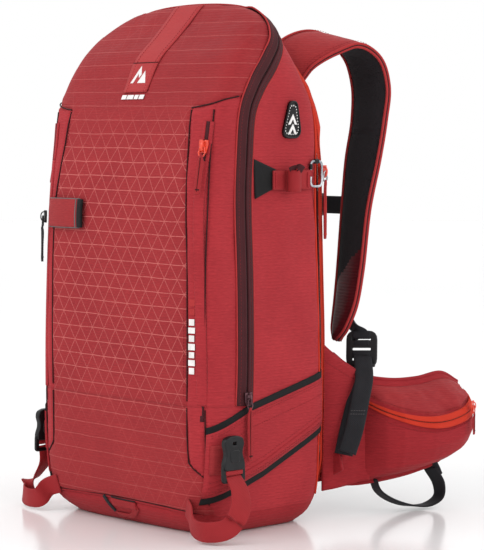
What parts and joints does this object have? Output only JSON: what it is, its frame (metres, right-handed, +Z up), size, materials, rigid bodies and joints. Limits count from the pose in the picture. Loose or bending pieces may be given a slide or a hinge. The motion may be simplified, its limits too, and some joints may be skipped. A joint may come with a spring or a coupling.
{
  "type": "avalanche airbag backpack",
  "caption": "Tall rounded ski-touring backpack with a zip-round front lid, side ski loops, padded harness, zipped hip belt and a strap-mounted airbag release handle.",
  "frame": {"origin": "middle of the flat sole, on the surface the pack stands on", "axes": "+Z up, +X towards the wearer's right, +Y towards the wearer's back, so the patterned front looks along -Y"},
  "size_m": [0.4084, 0.3768, 0.5534],
  "materials": {
    "shell": "matt polyester, fine horizontal ribs",
    "pattern": "ripstop with a pale printed triangle grid",
    "maroon": "woven zip tape",
    "orange": "bright zip tape and airbag cloth",
    "webbing": "woven black nylon",
    "lining": "black mesh and foam",
    "plastic": "moulded acetal",
    "badge": "glossy moulding",
    "sheet": "thin polyethylene",
    "zipmetal": "dark coated metal",
    "zippaint": "orange lacquer",
    "aluminium": "bright",
    "handle": "red-orange grip"
  },
  "bodies": {
    "pack_body": {"main_shell": "shell", "main_zip_tape_body": "maroon", "ski_band_right": "shell", "ski_band_left": "shell", "ski_loop_right": "shell", "ski_loop_left": "shell", "loop_buckle_right": "plastic", "loop_buckle_left": "plastic", "reflector_badge": "badge", "compression_webbing_right": "shell", "compression_webbing_left": "shell", "axe_loop": "shell", "airbag_module": "orange", "inflator_head": "plastic"},
    "front_lid": {"front_lid": "pattern", "tool_pocket_divider": "lining", "main_zip_tape_lid": "maroon", "front_zip_tape_right": "shell", "front_zip_tape_left": "shell"},
    "main_zip_slider": {"main_zip_slider": "zipmetal"},
    "main_zip_pull": {"main_zip_pull": "shell"},
    "front_zip_right_slider": {"front_zip_right_slider": "zippaint"},
    "front_zip_right_pull": {"front_zip_right_pull": "shell"},
    "front_zip_left_slider": {"front_zip_left_slider": "plastic"},
    "front_zip_left_pull": {"front_zip_left_pull": "webbing"},
    "axe_holder_flap": {"axe_holder_flap": "shell"},
    "compression_hook_right": {"compression_hook_right": "aluminium"},
    "compression_hook_left": {"compression_hook_left": "aluminium"},
    "gas_cylinder": {"gas_cylinder": "aluminium"},
    "back_panel": {"back_panel": "shell", "frame_sheet": "sheet", "back_zip_tape": "orange", "back_pad": "lining", "haul_loop": "shell", "shoulder_strap_right": "shell", "shoulder_strap_left": "shell", "ladder_lock_right": "plastic", "ladder_lock_left": "plastic", "adjuster_webbing_right": "webbing", "adjuster_webbing_left": "webbing", "trigger_cable": "webbing"},
    "back_zip_slider": {"back_zip_slider": "zippaint"},
    "back_zip_pull": {"back_zip_pull": "shell"},
    "trigger_handle": {"trigger_handle": "handle"},
    "sternum_left": {"sternum_webbing_left": "webbing", "sternum_buckle_male": "plastic"},
    "sternum_right": {"sternum_webbing_right": "webbing", "sternum_buckle_female": "plastic"},
    "hip_right": {"hip_wing_right": "shell", "hip_pocket_right": "shell", "belt_webbing_loop_right": "webbing", "belt_webbing_right": "webbing", "hip_buckle_male": "plastic"},
    "hip_left": {"hip_wing_left": "shell", "hip_pocket_left": "shell", "belt_webbing_loop_left": "webbing", "belt_webbing_left": "webbing", "hip_buckle_female": "plastic"},
    "hip_zip_right_slider": {"hip_zip_right_slider": "zippaint"},
    "hip_zip_right_pull": {"hip_zip_right_pull": "shell"}
  },
  "joints": [
    {"name": "lid_fold", "type": "hinge", "parent": "pack_body", "child": "front_lid", "pos_m": [0, -0.0895, 0.134], "axis": [1, 0, 0], "range_deg": [0, 90]},
    {"name": "main_zip_run", "type": "slide", "parent": "pack_body", "child": "main_zip_slider", "axis": [-0.0154, 0.0212, 0.9997], "range_m": [0, 0.25]},
    {"name": "main_zip_pull_swing", "type": "hinge", "parent": "main_zip_slider", "child": "main_zip_pull", "pos_m": [0.1493, -0.0356, 0.14105], "axis": [0, -1, 0], "range_deg": [0, 150]},
    {"name": "front_zip_right_run", "type": "slide", "parent": "front_lid", "child": "front_zip_right_slider", "axis": [0, -0.1386, -0.9903], "range_m": [0, 0.09]},
    {"name": "front_zip_right_pull_swing", "type": "hinge", "parent": "front_zip_right_slider", "child": "front_zip_right_pull", "pos_m": [0.12637, -0.07997, 0.39899], "axis": [-0.9135, -0.402, 0.0623], "range_deg": [0, 150]},
    {"name": "front_zip_left_run", "type": "slide", "parent": "front_lid", "child": "front_zip_left_slider", "axis": [-0.02, -0.02, -0.9996], "range_m": [-0.04, 0.155]},
    {"name": "front_zip_left_pull_swing", "type": "hinge", "parent": "front_zip_left_slider", "child": "front_zip_left_pull", "pos_m": [-0.12569, -0.08882, 0.32238], "axis": [-0.8712, 0.4908, -0.0098], "range_deg": [0, 150]},
    {"name": "axe_flap_seam", "type": "hinge", "parent": "front_lid", "child": "axe_holder_flap", "pos_m": [-0.1158, -0.0925, 0.327], "axis": [0, 0, -1], "range_deg": [0, 100]},
    {"name": "hook_right_swing", "type": "hinge", "parent": "pack_body", "child": "compression_hook_right", "pos_m": [0.1378, 0.062, 0.37], "axis": [0, 0, -1], "range_deg": [0, 90]},
    {"name": "hook_left_swing", "type": "hinge", "parent": "pack_body", "child": "compression_hook_left", "pos_m": [-0.1378, 0.062, 0.37], "axis": [0, 0, 1], "range_deg": [0, 90]},
    {"name": "cylinder_thread", "type": "hinge", "parent": "pack_body", "child": "gas_cylinder", "pos_m": [-0.06, 0.058, 0.18], "axis": [0, 0, 1], "continuous": true},
    {"name": "back_panel_fold", "type": "hinge", "parent": "pack_body", "child": "back_panel", "pos_m": [0, 0.09, 0.03], "axis": [-1, 0, 0], "range_deg": [0, 75]},
    {"name": "back_zip_run", "type": "slide", "parent": "back_panel", "child": "back_zip_slider", "axis": [0.03, 0, -0.9996], "range_m": [0, 0.24]},
    {"name": "back_zip_pull_swing", "type": "hinge", "parent": "back_zip_slider", "child": "back_zip_pull", "pos_m": [0.12966, 0.09158, 0.372], "axis": [0.1498, -0.9887, 0], "range_deg": [0, 150]},
    {"name": "trigger_pull", "type": "slide", "parent": "back_panel", "child": "trigger_handle", "axis": [0, -0.2334, -0.9724], "range_m": [0, 0.06]},
    {"name": "sternum_height", "type": "slide", "parent": "back_panel", "child": "sternum_left", "axis": [0, 0.2099, 0.9777], "range_m": [-0.03, 0.03]},
    {"name": "sternum_buckle_release", "type": "slide", "parent": "sternum_left", "child": "sternum_right", "axis": [1, 0, 0], "range_m": [0, 0.03]},
    {"name": "hip_right_flex", "type": "hinge", "parent": "back_panel", "child": "hip_right", "pos_m": [0.117, 0.11, 0.105], "axis": [0, 0, 1], "range_deg": [0, 30]},
    {"name": "hip_left_flex", "type": "hinge", "parent": "back_panel", "child": "hip_left", "pos_m": [-0.117, 0.11, 0.105], "axis": [0, 0, -1], "range_deg": [0, 30]},
    {"name": "hip_zip_right_run", "type": "slide", "parent": "hip_right", "child": "hip_zip_right_slider", "axis": [0.05, -0.9987, 0], "range_m": [0, 0.05]},
    {"name": "hip_zip_right_pull_swing", "type": "hinge", "parent": "hip_zip_right_slider", "child": "hip_zip_right_pull", "pos_m": [0.2049, 0.24716, 0.116], "axis": [0.3712, -0.9285, 0], "range_deg": [0, 150]}
  ]
}
